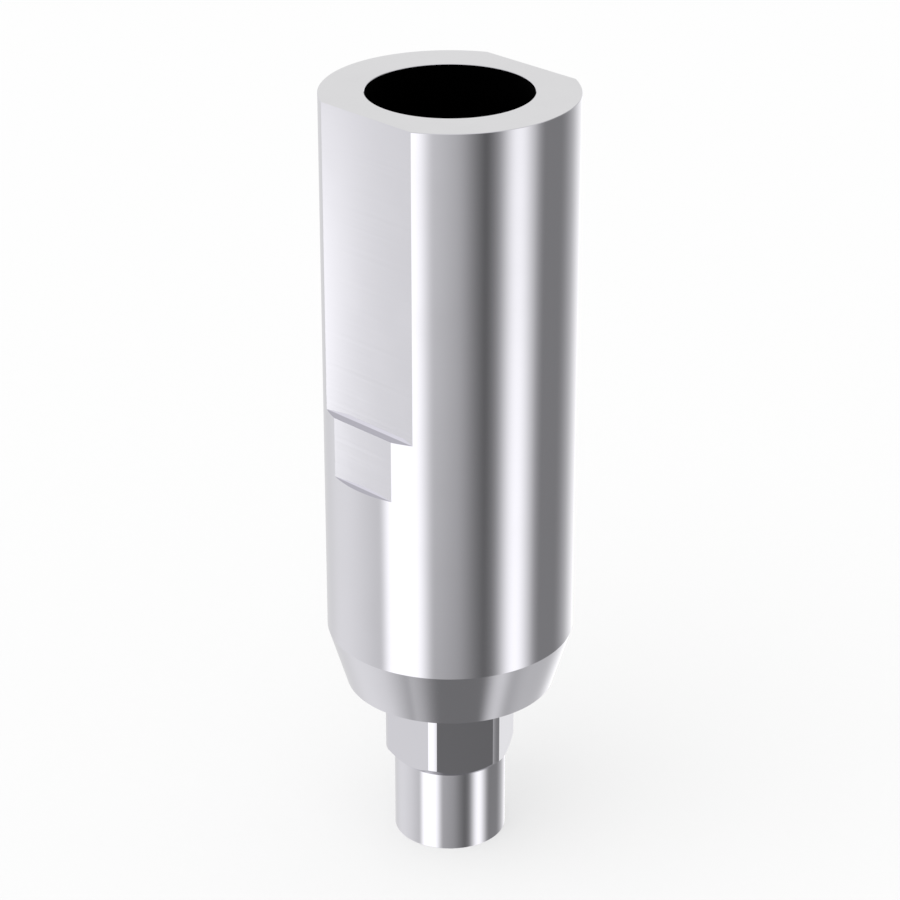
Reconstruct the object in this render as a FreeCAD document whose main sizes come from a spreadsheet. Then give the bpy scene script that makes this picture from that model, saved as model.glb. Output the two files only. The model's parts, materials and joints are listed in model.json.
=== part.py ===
import FreeCAD, Part
import os
import Sketcher

# Dental scan body: one piece, turned from titanium bar, then milled.
# The axis is Z. The origin is the centre of the seating face, which lands on the implant.
# Above it stand the taper and the body. Below it are the hexagon and the guide pin.
# The index flat faces -Y. All lengths are in millimetres and all angles in degrees.

NODE = "scan_body"

# Driving dimensions: name, value, meaning.
SIZES = [
    ("body_diameter", "5.0", "turned body"),
    ("body_height", "12.5", "seating face to top face"),
    ("taper_height", "1.2", "seating face to full body diameter"),
    ("taper_angle", "15", "taper's side to the axis"),
    ("hexagon_across_flats", "2.42", "between opposite flats"),
    ("hexagon_corner_relief", "0.05", "turned off each sharp corner, on the radius"),
    ("hexagon_length", "1.83", "seating face to guide pin, with the lead-in"),
    ("pin_step", "0.06", "guide pin under the hexagon's flats, on the radius"),
    ("pin_length", "1.77", "guide pin below the hexagon"),
    ("pin_wall", "0.2", "metal between the pin's outside and the shank hole"),
    ("channel_diameter", "3.24", "screw channel, open at the top face"),
    ("seat_angle", "45", "screw's conical seat to the axis"),
    ("seat_floor", "0.85", "metal between the seat's lower rim and the seating face"),
    ("index_flat_depth", "0.31", "milled below the body's surface"),
    ("index_flat_length", "6.28", "down from the top face"),
    ("step_flat_depth", "0.13", "milled below the body's surface"),
    ("step_flat_length", "1.26", "down from the end of the index flat"),
    ("edge_break", "0.01", "on the edges of the top face and of the pin's end"),
]
HEXAGON_SIDES = 6

# Worked out from the driving dimensions, in the same sheet.
DERIVED = [
    ("body_radius", "=body_diameter / 2"),
    ("collar_radius", "=body_radius - taper_height * tan(taper_angle * 1deg)"),
    ("flat_radius", "=hexagon_across_flats / 2"),
    ("corner_radius", "=flat_radius / cos(30deg) - hexagon_corner_relief"),
    ("pin_radius", "=flat_radius - pin_step"),
    ("shank_hole_radius", "=pin_radius - pin_wall"),
    ("channel_radius", "=channel_diameter / 2"),
    ("channel_end", "=seat_floor + (channel_radius - shank_hole_radius) / tan(seat_angle * 1deg)"),
    ("hexagon_end", "=-hexagon_length"),
    ("lead_in_start", "=hexagon_end + corner_radius - pin_radius"),
    ("pin_end", "=hexagon_end - pin_length"),
    ("index_flat_reach", "=body_radius - index_flat_depth"),
    ("step_flat_reach", "=body_radius - step_flat_depth"),
    ("step_flat_end", "=index_flat_length + step_flat_length"),
    ("clear_of_body", "=body_diameter"),
]


def size_sheet(document):
    """Spreadsheet with each size in a cell that has the size's name."""
    sheet = document.addObject("Spreadsheet::Sheet", "Sizes")
    for row, (name, value, meaning) in enumerate(SIZES, start=1):
        sheet.set(f"A{row}", name)
        sheet.set(f"B{row}", value)
        sheet.set(f"C{row}", meaning)
        sheet.setAlias(f"B{row}", name)
    for row, (name, formula) in enumerate(DERIVED, start=len(SIZES) + 2):
        sheet.set(f"A{row}", name)
        sheet.set(f"B{row}", formula)
        sheet.setAlias(f"B{row}", name)
    document.recompute()
    return sheet


def origin_part(body, role):
    """The body's own base plane or axis with this role."""
    return next(item for item in body.Origin.OriginFeatures if item.Role == role)


def sketch_on(body, name, plane_role):
    """Empty sketch on one of the body's base planes."""
    sketch = body.newObject("Sketcher::SketchObject", name)
    sketch.AttachmentSupport = [(origin_part(body, plane_role), "")]
    sketch.MapMode = "FlatFace"
    return sketch


def dimension(sketch, constraint, formula):
    """Dimension that follows a formula on the sheet's sizes."""
    number = sketch.addConstraint(constraint)
    sketch.setExpression(f"Constraints[{number}]", formula)


def closed_outline(sketch, sheet, corners):
    """Closed outline of straight edges. Each corner is two formulas: across and up from the origin.

    None in place of a formula puts the corner on the sketch's own axis.
    """
    places = [
        [0.0 if formula is None else float(sheet.evalExpression(formula)) for formula in corner]
        for corner in corners
    ]
    points = [FreeCAD.Vector(across, up, 0) for across, up in places]
    for start, end in zip(points, points[1:] + points[:1]):
        sketch.addGeometry(Part.LineSegment(start, end))
    count = len(corners)
    for edge, (across, up) in enumerate(corners):
        sketch.addConstraint(Sketcher.Constraint("Coincident", edge, 2, (edge + 1) % count, 1))
        if across is None:
            sketch.addConstraint(Sketcher.Constraint("PointOnObject", edge, 1, -2))
        else:
            place = places[edge][0]
            dimension(sketch, Sketcher.Constraint("DistanceX", -1, 1, edge, 1, place), across)
        if up is None:
            sketch.addConstraint(Sketcher.Constraint("PointOnObject", edge, 1, -1))
        else:
            place = places[edge][1]
            dimension(sketch, Sketcher.Constraint("DistanceY", -1, 1, edge, 1, place), up)


def turn_outside(body, sheet):
    """Everything that the lathe leaves: guide pin, hexagon blank, collar, taper and body."""
    sketch = sketch_on(body, "OutsideProfile", "XZ_Plane")
    closed_outline(
        sketch,
        sheet,
        [
            (None, "Sizes.pin_end"),
            ("Sizes.pin_radius", "Sizes.pin_end"),
            ("Sizes.pin_radius", "Sizes.hexagon_end"),
            ("Sizes.corner_radius", "Sizes.lead_in_start"),
            ("Sizes.corner_radius", None),
            ("Sizes.collar_radius", None),
            ("Sizes.body_radius", "Sizes.taper_height"),
            ("Sizes.body_radius", "Sizes.body_height"),
            (None, "Sizes.body_height"),
        ],
    )
    turned = body.newObject("PartDesign::Revolution", "TurnedOutside")
    turned.Profile = sketch
    turned.ReferenceAxis = (sketch, ["V_Axis"])
    turned.Angle = 360
    return turned


def bore_inside(body, sheet):
    """Screw channel from the top face, conical seat for the screw's head, and shank hole to the pin's end."""
    sketch = sketch_on(body, "BoreProfile", "XZ_Plane")
    closed_outline(
        sketch,
        sheet,
        [
            (None, "Sizes.pin_end"),
            ("Sizes.shank_hole_radius", "Sizes.pin_end"),
            ("Sizes.shank_hole_radius", "Sizes.seat_floor"),
            ("Sizes.channel_radius", "Sizes.channel_end"),
            ("Sizes.channel_radius", "Sizes.body_height"),
            (None, "Sizes.body_height"),
        ],
    )
    bored = body.newObject("PartDesign::Groove", "BoredInside")
    bored.Profile = sketch
    bored.ReferenceAxis = (sketch, ["V_Axis"])
    bored.Angle = 360
    return bored


def mill_below(body, sheet, name, level, reach, depth):
    """Cut what lies beyond a plane that faces -Y, from one level down by a depth."""
    sketch = sketch_on(body, name + "Outline", "XY_Plane")
    if level is not None:
        sketch.setExpression("AttachmentOffset.Base.z", level)
    closed_outline(
        sketch,
        sheet,
        [
            ("-Sizes.clear_of_body", f"-{reach}"),
            ("-Sizes.clear_of_body", "-Sizes.clear_of_body"),
            ("Sizes.clear_of_body", "-Sizes.clear_of_body"),
            ("Sizes.clear_of_body", f"-{reach}"),
        ],
    )
    cut = body.newObject("PartDesign::Pocket", name)
    cut.Profile = sketch
    cut.Type = "Length"
    cut.Reversed = False
    cut.setExpression("Length", depth)
    return cut


def mill_hexagon(body, sheet):
    """Six flats on the turned blank under the seating face, one of them facing -Y."""
    flat = mill_below(
        body, sheet, "HexagonFlat", None, "Sizes.flat_radius", "Sizes.hexagon_length"
    )
    flats = body.newObject("PartDesign::PolarPattern", "HexagonFlats")
    flats.Originals = [flat]
    flats.Axis = (origin_part(body, "Z_Axis"), [""])
    flats.Angle = 360
    flats.Occurrences = HEXAGON_SIDES
    body.Tip = flats
    return flats


def mill_index_flats(body, sheet):
    """Index flat on the front, its like on the back, and the shallow step that marks the front one."""
    front = mill_below(
        body, sheet, "IndexFlat", "Sizes.body_height", "Sizes.index_flat_reach", "Sizes.index_flat_length"
    )
    back = body.newObject("PartDesign::Mirrored", "BackFlat")
    back.Originals = [front]
    back.MirrorPlane = (origin_part(body, "XZ_Plane"), [""])
    body.Tip = back
    return mill_below(
        body, sheet, "StepFlat", "Sizes.body_height", "Sizes.step_flat_reach", "Sizes.step_flat_end"
    )


def face_across_axis(shape, level):
    """Name of the flat face that lies across the axis at this level."""
    for number, face in enumerate(shape.Faces, start=1):
        box = face.BoundBox
        if abs(box.ZMin - level) < 1e-6 and abs(box.ZMax - level) < 1e-6:
            return f"Face{number}"
    raise ValueError(f"no face across the axis at {level}")


def break_edges(body, sheet, before):
    """Small chamfer round the top face and round the pin's end, inside and out."""
    broken = body.newObject("PartDesign::Chamfer", "EdgeBreak")
    ends = [face_across_axis(before.Shape, float(level)) for level in (sheet.body_height, sheet.pin_end)]
    broken.Base = (before, ends)
    broken.setExpression("Size", "Sizes.edge_break")
    return broken


def check(document, bodies):
    """Stop if a feature failed or a piece isn't one sound solid."""
    for item in document.Objects:
        bad = {"Invalid", "Error"} & set(item.State)
        if bad:
            raise RuntimeError(f"{item.Name} is {sorted(bad)}")
    for body in bodies:
        if body.Shape.isNull() or not body.Shape.isValid() or len(body.Shape.Solids) != 1:
            raise RuntimeError(f"{body.Label} isn't one sound solid")


def must_remove(body, before, feature):
    """Stop if a cut took nothing away. Returns the volume that is left."""
    body.Document.recompute()
    left = feature.Shape.Volume
    if not left < before - 1e-3:
        raise RuntimeError(f"{feature.Name} cut nothing")
    return left


def main():
    document = FreeCAD.newDocument("ScanBody")
    sheet = size_sheet(document)
    body = document.addObject("PartDesign::Body", NODE)
    body.Label = NODE
    body.Placement = FreeCAD.Placement()

    turned = turn_outside(body, sheet)
    document.recompute()
    volume = turned.Shape.Volume
    print(f"turned blank: {volume:.2f} mm3")
    volume = must_remove(body, volume, bore_inside(body, sheet))
    print(f"bored: {volume:.2f} mm3")
    volume = must_remove(body, volume, mill_hexagon(body, sheet))
    print(f"hexagon milled: {volume:.2f} mm3")
    flats = mill_index_flats(body, sheet)
    volume = must_remove(body, volume, flats)
    print(f"flats milled: {volume:.2f} mm3")
    volume = must_remove(body, volume, break_edges(body, sheet, flats))
    print(f"edges broken: {volume:.2f} mm3")

    check(document, [body])
    os.makedirs("parts", exist_ok=True)
    body.Shape.exportStep(f"parts/{NODE}.step")
    box = body.Shape.BoundBox
    print(f"{NODE}: {box.XLength:.3f} x {box.YLength:.3f} x {box.ZLength:.3f} mm")


main()
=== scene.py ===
# %% [markdown]
# A scan body is a small metal marker for dentistry. It is screwed onto an implant in the jaw, and a scanner
# reads its flats and its top face to find where the implant lies. This one is a single piece: turned on a
# lathe from titanium bar, bored through, and then milled.
#
# The lesson rebuilds it the way the workshop does. A profile is spun into the turned blank, milling cuts are
# taken from it, and each machined surface gets the finish that its own tool leaves, apart from the deep screw
# channel, whose darkness is painted shade. Last come the floor, the camera, and the studio that the metal
# mirrors.

# %% Load the frame
import json
import math
from collections import namedtuple

import bmesh
import bpy
from mathutils import Matrix, Vector


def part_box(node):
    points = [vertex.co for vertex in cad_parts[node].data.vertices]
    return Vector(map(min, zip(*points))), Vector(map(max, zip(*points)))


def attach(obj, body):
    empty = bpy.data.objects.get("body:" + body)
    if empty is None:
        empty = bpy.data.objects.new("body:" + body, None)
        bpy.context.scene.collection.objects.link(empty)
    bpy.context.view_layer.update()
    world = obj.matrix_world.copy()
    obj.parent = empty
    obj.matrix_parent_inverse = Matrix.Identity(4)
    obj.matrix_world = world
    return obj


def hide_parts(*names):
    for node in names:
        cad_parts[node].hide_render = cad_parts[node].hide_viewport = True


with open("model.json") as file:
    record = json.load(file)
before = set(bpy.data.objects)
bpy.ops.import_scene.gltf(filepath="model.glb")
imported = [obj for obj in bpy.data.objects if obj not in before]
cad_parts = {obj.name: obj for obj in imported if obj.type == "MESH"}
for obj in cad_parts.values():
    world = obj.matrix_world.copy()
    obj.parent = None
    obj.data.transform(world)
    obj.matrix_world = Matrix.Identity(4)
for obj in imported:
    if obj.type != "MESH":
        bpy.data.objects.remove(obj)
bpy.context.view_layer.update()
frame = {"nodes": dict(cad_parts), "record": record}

NODE = "scan_body"
MM = 0.001


# %% [markdown]
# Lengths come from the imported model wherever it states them, so that this script stays in step with the
# construction. The box gives the body and the two ends. The mounts, the places where a stranger would fasten
# something, give the bores and the guide pin. Work is done in millimetres, because the numbers are then easy
# to read and the cuts are safer than on shapes a few thousandths of a unit wide. The mesh is scaled to
# metres once, when it is finished.

# %% Sizes that the frame states
low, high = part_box(NODE)
mounts = {mount["name"]: mount["dims"] for mount in frame["record"]["mounts"]}
body_radius = high.x / MM
top = high.z / MM
pin_end = low.z / MM
channel_radius = mounts["screw_channel"]["r_mm"]
shank_hole_radius = mounts["screw_shank_hole"]["r_mm"]
pin_radius = mounts["guide_pin"]["r_mm"]
print(f"body radius {body_radius:.3f} mm, from {pin_end:.2f} to {top:.2f} mm")

# %% [markdown]
# The flats aren't mounts, but they can be measured on the frame's own mesh. Its triangles that face one way
# are sorted by how far out they lie, and each distance is one flat with its lowest and highest level. The
# round walls have a narrow facet that faces the same way, so what is narrow is passed over.

# %% Measure the flats
FACING = 0.9999
NARROW = 0.4

Flat = namedtuple("Flat", "reach low high")


def flats_facing(direction):
    """Flats that face along Y, nearest the axis first: how far out each lies and its levels, in mm."""
    mesh = frame["nodes"][NODE].data
    found = {}
    for polygon in mesh.polygons:
        if polygon.normal.dot(direction) > FACING:
            reach = round(polygon.center.dot(direction) / MM, 2)
            corners = [mesh.vertices[corner].co / MM for corner in polygon.vertices]
            found.setdefault(reach, []).extend(corners)
    return [
        Flat(reach, min(point.z for point in points), max(point.z for point in points))
        for reach, points in sorted(found.items())
        if max(point.x for point in points) > NARROW
    ]


hexagon_flat, index_flat, step_flat = flats_facing(Vector((0, -1, 0)))
back_flat = flats_facing(Vector((0, 1, 0)))[-1]
for name, flat in zip(("hexagon", "index", "step", "back"), (hexagon_flat, index_flat, step_flat, back_flat)):
    print(f"{name} flat {flat.reach:.2f} mm from the axis, from {flat.low:.2f} to {flat.high:.2f} mm")

# %% [markdown]
# A lathe cuts one outline. Half of the section, drawn in a plane that holds the axis, is that outline: up the
# outside from the guide pin's end, over the top, down the screw channel and the screw's seat, and out
# through the shank hole. A cylinder primitive with booleans could stand in for each step, but one spun
# profile gives clean quads, true small chamfers and no seams between the steps, so that the highlights run
# unbroken.
#
# The frame states no length for the taper, the relieved corners, the seat and the broken edges, so they are
# named here. The seat and the hexagon's lead-in are turned at 45 degrees and rise as much as they widen. The
# taper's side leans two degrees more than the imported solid's, and the collar under it is a fiftieth of a
# millimetre lower, because the outline in the picture asks for that.

# %% Turn the blank
HEXAGON_SIDES = 6
TAPER_HEIGHT = 1.2
TAPER_ANGLE = math.radians(17)
COLLAR_LEVEL = -0.02
CORNER_RELIEF = 0.05
SEAT_FLOOR = 0.85
EDGE_BREAK = 0.01
SEGMENTS = 720
ONE_POINT = 1e-5

collar_radius = body_radius - (TAPER_HEIGHT - COLLAR_LEVEL) * math.tan(TAPER_ANGLE)
corner_radius = hexagon_flat.reach / math.cos(math.pi / HEXAGON_SIDES) - CORNER_RELIEF
lead_in = corner_radius - pin_radius
hexagon_end = hexagon_flat.low - (hexagon_flat.reach - pin_radius)
seat_top = SEAT_FLOOR + channel_radius - shank_hole_radius


def profile():
    """Corners of the half section, as (radius, level), once round from the outside of the pin's end."""
    return [
        (pin_radius - EDGE_BREAK, pin_end),
        (pin_radius, pin_end + EDGE_BREAK),
        (pin_radius, hexagon_end),
        (corner_radius, hexagon_end + lead_in),
        (corner_radius, COLLAR_LEVEL),
        (collar_radius, COLLAR_LEVEL),
        (body_radius, TAPER_HEIGHT),
        (body_radius, top - EDGE_BREAK),
        (body_radius - EDGE_BREAK, top),
        (channel_radius + EDGE_BREAK, top),
        (channel_radius, top - EDGE_BREAK),
        (channel_radius, seat_top),
        (shank_hole_radius, SEAT_FLOOR),
        (shank_hole_radius, pin_end + EDGE_BREAK),
        (shank_hole_radius + EDGE_BREAK, pin_end),
    ]


def turned_blank():
    """The profile spun once round the axis, as a closed bmesh."""
    bm = bmesh.new()
    corners = [bm.verts.new((radius, 0, level)) for radius, level in profile()]
    edges = [bm.edges.new(pair) for pair in zip(corners, corners[1:] + corners[:1])]
    bmesh.ops.spin(
        bm, geom=corners + edges, cent=(0, 0, 0), axis=(0, 0, 1), dvec=(0, 0, 0),
        angle=math.tau, steps=SEGMENTS, use_merge=True, use_duplicate=False,
    )
    bmesh.ops.remove_doubles(bm, verts=bm.verts, dist=ONE_POINT)
    bmesh.ops.recalc_face_normals(bm, faces=bm.faces)
    return bm


blank = turned_blank()
print(f"blank: {len(blank.faces)} faces, {blank.calc_volume():.2f} mm3, collar's radius {collar_radius:.2f} mm")

# %% [markdown]
# Every machined surface has a finish of its own, and a face remembers its finish as a material slot. The
# slots are made now, because a cut hands its slot on to the faces that it leaves. Their nodes come later.

# %% Name the finishes
FINISHES = ["turned_titanium", "faced_titanium", "milled_index_flat", "milled_hexagon", "bored_channel"]
ACROSS_AXIS = 0.999

finish = {name: bpy.data.materials.new(name) for name in FINISHES}


def slot_of(name):
    """The material slot that holds a finish."""
    return FINISHES.index(name)


def finish_of(face):
    """Bored inside, faced where the face lies across the axis, and turned elsewhere."""
    middle = face.calc_center_median()
    outward = Vector((middle.x, middle.y, 0)).dot(face.normal)
    inside = outward < 0 and pin_end + EDGE_BREAK < middle.z < top - EDGE_BREAK
    if abs(face.normal.z) > ACROSS_AXIS:
        return "faced_titanium"
    return "bored_channel" if inside else "turned_titanium"


for face in blank.faces:
    face.material_index = slot_of(finish_of(face))
for name in ("turned_titanium", "faced_titanium", "bored_channel"):
    count = sum(face.material_index == slot_of(name) for face in blank.faces)
    print(f"{name}: {count} faces of the blank")

# %% [markdown]
# Milling takes away everything beyond a plane, down to a ledge. Moving vertices onto the plane would leave
# wavy edges where it meets the round body, and cutting the mesh with a bisecting plane would go right
# through the piece. A box as the cutter, taken away with an exact boolean, leaves the flat and its ledge in
# one stroke, as the end mill does. The six hexagon boxes are a little wider than their flats, and narrow
# enough that neighbours don't meet.

# %% Mill the flats
CLEAR = 1.0
WIDER = 1.04


def cutter_box(bm, nearest, below, above, half_width, turn=0.0):
    """Box beyond a plane that faces -Y at a distance from the axis, turned about the axis."""
    size = Matrix.Diagonal((2 * half_width, CLEAR, above - below, 1))
    place = Matrix.Translation((0, -nearest - CLEAR / 2, (below + above) / 2))
    bmesh.ops.create_cube(bm, size=1, matrix=Matrix.Rotation(turn, 4, "Z") @ place @ size)


def object_from(bm, name):
    """Scene object with the bmesh's shape and every finish's slot."""
    mesh = bpy.data.meshes.new(name)
    bm.to_mesh(mesh)
    bm.free()
    for name_of_finish in FINISHES:
        mesh.materials.append(finish[name_of_finish])
    thing = bpy.data.objects.new(name, mesh)
    bpy.context.scene.collection.objects.link(thing)
    return thing


def mill(piece, cutter, finish_name):
    """Take the cutter's boxes from the piece. The faces that they leave get a finish."""
    for face in cutter.faces:
        face.material_index = slot_of(finish_name)
    tool = object_from(cutter, "tool")
    cut = piece.modifiers.new("cut", "BOOLEAN")
    cut.operation = "DIFFERENCE"
    cut.solver = "EXACT"
    cut.object = tool
    before = len(piece.data.polygons)
    graph = bpy.context.evaluated_depsgraph_get()
    result = bpy.data.meshes.new_from_object(piece.evaluated_get(graph))
    piece.modifiers.clear()
    piece.data = result
    bpy.data.objects.remove(tool)
    print(f"{finish_name}: {before} faces before the cut, {len(result.polygons)} after")


def hexagon_cutter():
    """Six boxes, one beyond each flat of the hexagon."""
    bm = bmesh.new()
    below = hexagon_end - lead_in
    half_width = WIDER * math.sqrt(corner_radius**2 - hexagon_flat.reach**2)
    for side in range(HEXAGON_SIDES):
        turn = math.tau * side / HEXAGON_SIDES
        cutter_box(bm, hexagon_flat.reach, below, COLLAR_LEVEL, half_width, turn)
    return bm


def index_cutter():
    """Two boxes that leave the index flat and its like on the back."""
    bm = bmesh.new()
    cutter_box(bm, index_flat.reach, index_flat.low, top + CLEAR, body_radius)
    cutter_box(bm, back_flat.reach, back_flat.low, top + CLEAR, body_radius, math.pi)
    return bm


def step_cutter():
    """Box that leaves the shallow step under the index flat."""
    bm = bmesh.new()
    cutter_box(bm, step_flat.reach, step_flat.low, top + CLEAR, body_radius)
    return bm


piece = object_from(blank, "machined_scan_body")
mill(piece, hexagon_cutter(), "milled_hexagon")
mill(piece, index_cutter(), "milled_index_flat")
mill(piece, step_cutter(), "milled_index_flat")

# %% [markdown]
# A cut mesh needs cleaning: doubled points go, normals turn outwards, and edges are marked sharp where two
# machined surfaces meet. The turned surfaces stay smooth, so that their facets don't show. The taper meets
# the body at only seventeen degrees, so the limit lies well under that.

# %% Clean the mesh
CUT_POINT = 1e-4
SHARP_ANGLE = math.radians(7)


def finish_mesh(piece):
    """Close, sharpen and scale the piece's mesh. Prints what it measures."""
    bm = bmesh.new()
    bm.from_mesh(piece.data)
    bmesh.ops.remove_doubles(bm, verts=bm.verts, dist=CUT_POINT)
    bmesh.ops.dissolve_degenerate(bm, edges=bm.edges, dist=ONE_POINT)
    bmesh.ops.recalc_face_normals(bm, faces=bm.faces)
    for face in bm.faces:
        face.smooth = True
    for edge in bm.edges:
        edge.smooth = edge.calc_face_angle(math.pi) < SHARP_ANGLE
    open_edges = sum(not edge.is_manifold for edge in bm.edges)
    print(f"{len(bm.faces)} faces, {open_edges} open edges, {bm.calc_volume():.2f} mm3")
    bmesh.ops.transform(bm, matrix=Matrix.Scale(MM, 4), verts=bm.verts)
    bm.to_mesh(piece.data)
    bm.free()


finish_mesh(piece)
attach(piece, "root")
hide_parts(NODE)


# %% [markdown]
# A finish is a small sum over the surface. Wiring a sum by hand takes a node for each plus and times, so one
# small class wraps a socket and lets Python write it: an expression such as 1 - mask adds its Math nodes by
# itself. Every other node comes from one method, which takes the node's type, its settings and its sockets.

# %% Sums on sockets
class Value:
    """A socket that Python can do sums with."""

    def __init__(self, nodes, socket):
        self.nodes, self.socket = nodes, socket

    def sum(self, operation, first, second):
        return self.nodes.add("ShaderNodeMath", {"operation": operation}, {0: first, 1: second})

    def __add__(self, other):
        return self.sum("ADD", self, other)

    def __sub__(self, other):
        return self.sum("SUBTRACT", self, other)

    def __rsub__(self, other):
        return self.sum("SUBTRACT", other, self)

    def __mul__(self, other):
        return self.sum("MULTIPLY", self, other)

    __radd__ = __add__
    __rmul__ = __mul__


class Nodes:
    """A node tree that is emptied and then built up."""

    def __init__(self, tree):
        self.tree = tree
        tree.nodes.clear()

    def add(self, kind, settings=None, sockets=None, output=0):
        """Add a node, set it up, fill or link its sockets, and return one of its outputs."""
        node = self.tree.nodes.new(kind)
        for name, setting in (settings or {}).items():
            setattr(node, name, setting)
        for name, value in (sockets or {}).items():
            if isinstance(value, Value):
                self.tree.links.new(value.socket, node.inputs[name])
            else:
                node.inputs[name].default_value = value
        return Value(self, node.outputs[output]) if node.outputs else None

    def rise(self, value, start, end):
        """0 before start, 1 after end, with a smooth step between. It falls where end is the lesser."""
        return self.add(
            "ShaderNodeMapRange",
            {"interpolation_type": "SMOOTHSTEP"},
            {"Value": value, "From Min": start, "From Max": end},
        )

    def blend(self, factor, first, second):
        """Colour that goes from first to second with the factor."""
        sockets = {"Factor": factor, "A": first, "B": second}
        return self.add("ShaderNodeMix", {"data_type": "RGBA"}, sockets, "Result")


# %% [markdown]
# Polished titanium is a clean, slightly cool metal with no paint on it, so its look is nearly all reflection.
# What tells a machined surface from a sphere of chrome is the trace of the tool: very fine rings where it was
# turned, circles where it was faced, straight strokes where it was milled. The traces here are real in
# height, well under a thousandth of a millimetre, so that they draw the reflections out a little without
# hiding them. An image texture could do the same, but a formula has no seam and no smallest size.
#
# Each metal has two colours: clean, and where handling has dulled it in large soft patches. The faced
# surfaces are rougher and less cool than the polished ones. In the picture the index flats mirror a part of
# the studio that lies higher than what an upright face would mirror, so their bump also has a slope of about
# five degrees. The flats themselves stay upright.

# %% Metal finishes
POLISHED = ((0.803, 0.794, 0.842, 1), (0.789, 0.780, 0.826, 1))
FACED = ((0.795, 0.791, 0.804, 1), (0.781, 0.777, 0.790, 1))
TURNED_ROUGHNESS = 0.09
MILLED_ROUGHNESS = 0.07
FACED_ROUGHNESS = 0.16
TRACE_PITCH = 0.08 * MM
TRACE_HEIGHT = 0.00012 * MM
MILLED_TRACE_HEIGHT = 0.00004 * MM
TRACE_ROUGHNESS = 0.02
CLOUD_SIZE = 1.6 * MM
CLOUD_EDGE = (0.45, 0.75)
CLOUD_ROUGHNESS = 0.02
INDEX_LEAN = 0.09


def start_finish(name):
    """The finish's material, emptied, with the piece's own coordinates and its level, in metres."""
    finish[name].use_nodes = True
    nodes = Nodes(finish[name].node_tree)
    place = nodes.add("ShaderNodeTexCoord", output="Object")
    level = nodes.add("ShaderNodeSeparateXYZ", None, {0: place}, "Z")
    return nodes, place, level


def trace(nodes, across):
    """Fine tool marks that follow one another along a distance in metres."""
    return nodes.add(
        "ShaderNodeTexNoise",
        {"noise_dimensions": "1D"},
        {"W": across * (1 / TRACE_PITCH), "Scale": 1.0, "Detail": 2.0, "Roughness": 0.6},
    )


def clouds(nodes, place):
    """How dull each place is. The patches are large and soft."""
    noise = nodes.add("ShaderNodeTexNoise", None, {"Vector": place, "Scale": 1 / CLOUD_SIZE, "Detail": 3.0})
    return nodes.rise(noise, *CLOUD_EDGE)


def metal(nodes, colour, roughness, height):
    """Principled metal with a colour, a roughness and the height of its surface in metres."""
    bump = nodes.add("ShaderNodeBump", None, {"Strength": 1.0, "Distance": 1.0, "Height": height})
    shader = nodes.add(
        "ShaderNodeBsdfPrincipled",
        None,
        {"Base Color": colour, "Metallic": 1.0, "Roughness": roughness, "Normal": bump},
    )
    nodes.add("ShaderNodeOutputMaterial", None, {"Surface": shader})


def worn_metal(nodes, place, colours, roughness, marks, height):
    """Metal that handling has dulled in patches, a little rougher on each tool mark."""
    dull = clouds(nodes, place)
    rough = roughness + TRACE_ROUGHNESS * marks + CLOUD_ROUGHNESS * dull
    metal(nodes, nodes.blend(dull, *colours), rough, height)


def turned_finish():
    """Rings round the axis, one above the other."""
    nodes, place, level = start_finish("turned_titanium")
    marks = trace(nodes, level)
    worn_metal(nodes, place, POLISHED, TURNED_ROUGHNESS, marks, marks * TRACE_HEIGHT)


def faced_finish():
    """Circles round the axis, one outside the other."""
    nodes, place, level = start_finish("faced_titanium")
    spoke = nodes.add("ShaderNodeVectorMath", {"operation": "MULTIPLY"}, {0: place, 1: (1, 1, 0)}, "Vector")
    radius = nodes.add("ShaderNodeVectorMath", {"operation": "LENGTH"}, {0: spoke}, "Value")
    marks = trace(nodes, radius)
    worn_metal(nodes, place, FACED, FACED_ROUGHNESS, marks, marks * TRACE_HEIGHT)


def milled_finish(name, lean):
    """Level strokes of the end mill. The lean is how fast the bump falls as the level rises."""
    nodes, place, level = start_finish(name)
    marks = trace(nodes, level)
    height = marks * MILLED_TRACE_HEIGHT - level * lean
    worn_metal(nodes, place, POLISHED, MILLED_ROUGHNESS, marks, height)


turned_finish()
faced_finish()
milled_finish("milled_index_flat", INDEX_LEAN)
milled_finish("milled_hexagon", 0.0)
for name in FINISHES:
    if name != "bored_channel":
        print(f"{name}: {len(finish[name].node_tree.nodes)} nodes")

# %% [markdown]
# The channel is the darkest thing in the picture. It is deep and narrow, and hardly any light that goes in
# comes out. That darkness is painted shade: the walls are given near-black as their own colour, and they are
# rougher than the outside. Towards the screw's seat and in the shank hole the black gives way to a darker grey
# metal, which is titanium with painted shade still over it.

# %% Bored channel
# Both colours are painted shade: near-black for the deep channel, and a darkened grey for the metal of the seat
# and the shank hole.
BORE_PAINTED_SHADE = (0.002, 0.002, 0.002, 1)
SEAT_METAL_AND_SHADE = (0.32, 0.318, 0.33, 1)
BORE_ROUGHNESS = 0.45
BORE_TRACE_ROUGHNESS = 0.1
SEAT_FADE = 0.8 * MM


def bored_channel_shade():
    """Walls painted near-black as shade, turning towards the seat to darker metal that still carries painted
    shade.
    """
    nodes, place, level = start_finish("bored_channel")
    marks = trace(nodes, level)
    # Painted shade: near-black down the channel, fading over SEAT_FADE to the darkened seat metal below the
    # seat's top.
    less_shade = nodes.rise(level, seat_top * MM + SEAT_FADE, seat_top * MM)
    colour = nodes.blend(less_shade, BORE_PAINTED_SHADE, SEAT_METAL_AND_SHADE)
    metal(nodes, colour, BORE_ROUGHNESS + BORE_TRACE_ROUGHNESS * marks, marks * TRACE_HEIGHT)


bored_channel_shade()
print(f"the channel is black down to {seat_top + SEAT_FADE / MM:.2f} mm and bare from {seat_top:.2f} mm")

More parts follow.
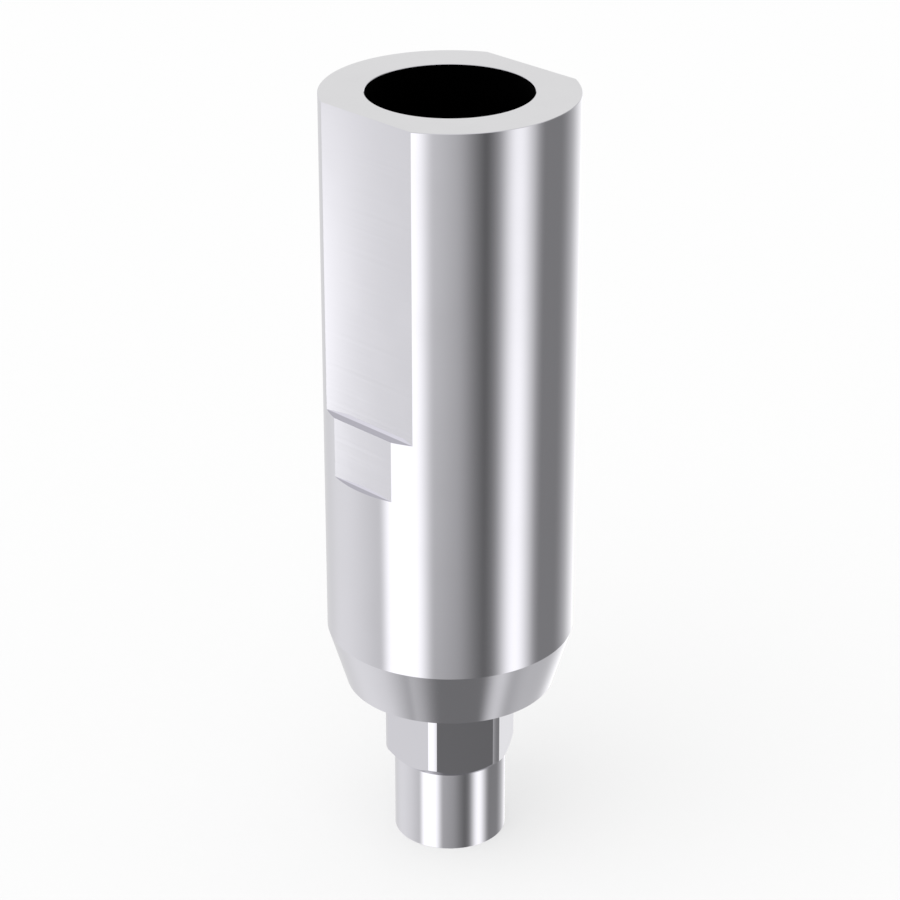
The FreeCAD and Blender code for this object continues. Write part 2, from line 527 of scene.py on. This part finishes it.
# %% [markdown]
# The floor is a pale disc that the pin stands on. It keeps the soft shadow and shows nothing else: it fades
# out at its rim, so that no horizon is drawn behind the piece, and it is clear from below, so that a camera
# under it sees the pin's end. Half of it is clear from above too, and the white room that shows through
# keeps the shadow faint. Metal walls seen from above would mirror nothing but floor, so the floor is left
# out of what the metal mirrors.

# %% Floor
FLOOR_WHITE = (0.96, 0.96, 0.96, 1)
FLOOR_SHARE = 0.5
FLOOR_RADIUS = 0.25
FLOOR_SEGMENTS = 96
FADE_START = 0.06
FADE_END = 0.2


def floor_material():
    """Matt white, half clear from above, and clear at the rim and from below."""
    material = bpy.data.materials.new("pale_floor")
    material.use_nodes = True
    nodes = Nodes(material.node_tree)
    place = nodes.add("ShaderNodeTexCoord", output="Object")
    distance = nodes.add("ShaderNodeVectorMath", {"operation": "LENGTH"}, {0: place}, "Value")
    below = nodes.add("ShaderNodeNewGeometry", output="Backfacing")
    keep = nodes.rise(distance, FADE_END, FADE_START) * (1 - below) * FLOOR_SHARE
    matt = nodes.add("ShaderNodeBsdfDiffuse", None, {"Color": FLOOR_WHITE})
    clear = nodes.add("ShaderNodeBsdfTransparent")
    shader = nodes.add("ShaderNodeMixShader", None, {0: keep, 1: clear, 2: matt})
    nodes.add("ShaderNodeOutputMaterial", None, {"Surface": shader})
    return material


def pale_floor():
    """Disc at the level of the pin's end, left out of reflections."""
    bm = bmesh.new()
    bmesh.ops.create_circle(bm, cap_ends=True, radius=FLOOR_RADIUS, segments=FLOOR_SEGMENTS)
    bmesh.ops.translate(bm, verts=bm.verts, vec=(0, 0, pin_end * MM))
    mesh = bpy.data.meshes.new("floor")
    bm.to_mesh(mesh)
    bm.free()
    mesh.materials.append(floor_material())
    floor = bpy.data.objects.new("floor", mesh)
    bpy.context.scene.collection.objects.link(floor)
    floor.visible_glossy = False
    return floor


floor = pale_floor()
print(f"floor: {2 * FLOOR_RADIUS} m across, at {pin_end:.2f} mm")

# %% [markdown]
# The camera looks down at the piece from a corner, with the index flat on the left. It stands six
# centimetres away with a long lens. The lens only sets how large the piece is in the frame, but the distance
# sets how much the walls close in towards the foot, so both were fitted to the edges in the picture.

# %% Camera
CAMERA_AZIMUTH = math.radians(45.4)
CAMERA_ELEVATION = math.radians(25.2)
CAMERA_DISTANCE = 59.307 * MM
CAMERA_TARGET = Vector((0, 0, 5.0175 * MM))
LENS = 119.23
SENSOR_WIDTH = 36
CLIP_START = 0.001
CLIP_END = 2.0

UP = Vector((0, 0, 1))
towards_camera = Vector((math.sin(CAMERA_AZIMUTH), -math.cos(CAMERA_AZIMUTH), 0))
to_the_right = Vector((math.cos(CAMERA_AZIMUTH), math.sin(CAMERA_AZIMUTH), 0))
back = towards_camera * math.cos(CAMERA_ELEVATION) + UP * math.sin(CAMERA_ELEVATION)


def fitted_camera():
    """Camera that looks at its target from the fitted direction and distance."""
    lens = bpy.data.cameras.new("camera")
    lens.lens = LENS
    lens.sensor_width = SENSOR_WIDTH
    lens.clip_start = CLIP_START
    lens.clip_end = CLIP_END
    camera = bpy.data.objects.new("camera", lens)
    camera.location = CAMERA_TARGET + back * CAMERA_DISTANCE
    camera.rotation_euler = back.to_track_quat("Z", "Y").to_euler()
    bpy.context.scene.collection.objects.link(camera)
    return camera


camera = fitted_camera()
bpy.context.scene.camera = camera
print("camera at", [round(along_axis / MM, 1) for along_axis in camera.location], "mm")

# %% [markdown]
# Polished metal has almost no colour of its own to show: it is a picture of the room. A product photographer
# stands cards round it, white ones for the bright bands and black ones for the dark bands that give it shape.
# Lamps and planes could play the cards here, but they would also light the floor and show in other views.
# The world does it with sums instead. Each card is a patch of sky between two azimuths and two elevations,
# with soft edges, and only reflections see the cards. The camera sees a plain white room, and matt surfaces
# are lit by an even pale light, under which a colour shows about as it is written.
#
# The cards are listed in the order in which they go up, each over those before it. In the picture the round
# walls mirror what lies 18 to 33 degrees under the horizon, the taper 29 to 64 degrees under it, and the top
# face 18 or 19 degrees over it. The index flats mirror 11 to 19 degrees under it, on the left. So the ceiling
# is what the top face shows, the feet of the strips and the floor's shade are for the taper, and the side
# lamp's edge is for the index flats.

# %% Studio
# Each card: azimuths of its left side from 0 to full and of its right side from full to 0, elevations of its
# foot from 0 to full and of its head from full to 0, all in degrees, and its brightness. Azimuth 0 is
# towards the camera.
CARDS = [
    ("ceiling", (-200, -190), (190, 200), (5, 18), (100, 110), 0.85),
    ("left edge's shade", (-200, -190), (-150, -122), (-95, -90), (0, 10), 0.73),
    ("left wall's shade", (-117, -65), (171, 177), (-95, -90), (60, 80), 0.69),
    ("middle's shade", (-28, 52), (44, 128), (-95, -90), (28, 48), 0.20),
    ("dark card", (5, 44), (30, 41), (-95, -90), (28, 48), 0.055),
    ("floor's shade", (-93, -28), (41, 61), (-95, -90), (-51, -15), 0.18),
    ("white strip's foot", (-62, -52), (-58, -13), (-95, -90), (-58, -50), 0.53),
    ("white strip", (-69, -55.5), (-31.8, -13.3), (-58, -45), (-15, -3), 1.29),
    ("bright strip", (37, 62), (63, 87), (-50, -36), (-33, 20), 1.25),
    ("bright strip's foot", (43.5, 69), (70, 90), (-95, -90), (-50, -36), 0.70),
    ("dark flag", (78, 92), (111, 152), (-59, -28), (28, 48), 0.22),
    ("right wall", (132, 180), (170, 179), (-70, -41), (5, 20), 1.28),
    ("side lamp's edge", (-118, -108), (-91.6, -90.1), (-24.5, -21), (-20.5, -8), 2.1),
    ("side lamp's glow", (-140, -125), (-60, -50), (2, 10), (20, 29), 1.04),
    ("side lamp's hood", (-140, -125), (-60, -50), (20, 29), (60, 80), 0.68),
]
ROOM = 0.82
AMBIENT = 0.82
WHITE = (1, 1, 1, 1)


def put_card(nodes, azimuth, elevation, light, card):
    """The light that is there already, with one card over it."""
    name, left, right, foot, head, brightness = card
    mask = (
        nodes.rise(azimuth, *left)
        * nodes.rise(azimuth, *reversed(right))
        * nodes.rise(elevation, *foot)
        * nodes.rise(elevation, *reversed(head))
    )
    print(f"{name}: azimuths {left[0]} to {right[1]}, elevations {foot[0]} to {head[1]}, {brightness}")
    return light + (brightness - light) * mask


def along(nodes, direction, axis):
    """How far a direction goes along an axis."""
    return nodes.add("ShaderNodeVectorMath", {"operation": "DOT_PRODUCT"}, {0: direction, 1: axis}, "Value")


def degrees(nodes, operation, first, second=0.0):
    """An angle from an inverse function, in degrees."""
    return nodes.add("ShaderNodeMath", {"operation": operation}, {0: first, 1: second}) * math.degrees(1)


def studio():
    """World that shows the cards to reflections, white to the camera and pale light to the rest."""
    world = bpy.data.worlds.new("studio")
    bpy.context.scene.world = world
    world.use_nodes = True
    world.cycles.sampling_method = "NONE"
    nodes = Nodes(world.node_tree)
    direction = nodes.add("ShaderNodeTexCoord", output="Generated")
    forward = along(nodes, direction, towards_camera)
    sideways = along(nodes, direction, to_the_right)
    azimuth = degrees(nodes, "ARCTAN2", sideways, forward)
    elevation = degrees(nodes, "ARCSINE", along(nodes, direction, UP))
    light = ROOM
    for card in CARDS:
        light = put_card(nodes, azimuth, elevation, light, card)
    seen = nodes.add("ShaderNodeLightPath", output="Is Camera Ray")
    mirrored = nodes.add("ShaderNodeLightPath", output="Is Glossy Ray")
    strength = seen + mirrored * light + (1 - seen) * (1 - mirrored) * AMBIENT
    background = nodes.add("ShaderNodeBackground", None, {"Color": WHITE, "Strength": strength})
    nodes.add("ShaderNodeOutputWorld", None, {"Surface": background})


studio()

# %% [markdown]
# One wide soft lamp gives the floor its faint shadow. It hangs overhead, a little towards the camera and to
# its left. A sun lamp is enough, because only its direction and its width matter to a shadow this soft.

# %% Lamp
LAMP_STRENGTH = 0.70
LAMP_ANGLE = math.radians(50)
LAMP_NEARER = 0.35
LAMP_LEFT = 0.3


def soft_lamp():
    """Wide sun that matt surfaces see and reflections don't."""
    sun = bpy.data.lights.new("soft_lamp", "SUN")
    sun.energy = LAMP_STRENGTH
    sun.angle = LAMP_ANGLE
    lamp = bpy.data.objects.new("soft_lamp", sun)
    towards_lamp = UP + LAMP_NEARER * towards_camera - LAMP_LEFT * to_the_right
    lamp.rotation_euler = towards_lamp.to_track_quat("Z", "Y").to_euler()
    lamp.visible_glossy = False
    bpy.context.scene.collection.objects.link(lamp)
    return lamp


lamp = soft_lamp()
print(f"lamp: strength {lamp.data.energy:.2f}, {math.degrees(lamp.data.angle):.0f} degrees wide")

# %% [markdown]
# The standard view shows the colours as they are written.

# %% Finish
bpy.context.scene.view_settings.view_transform = "Standard"
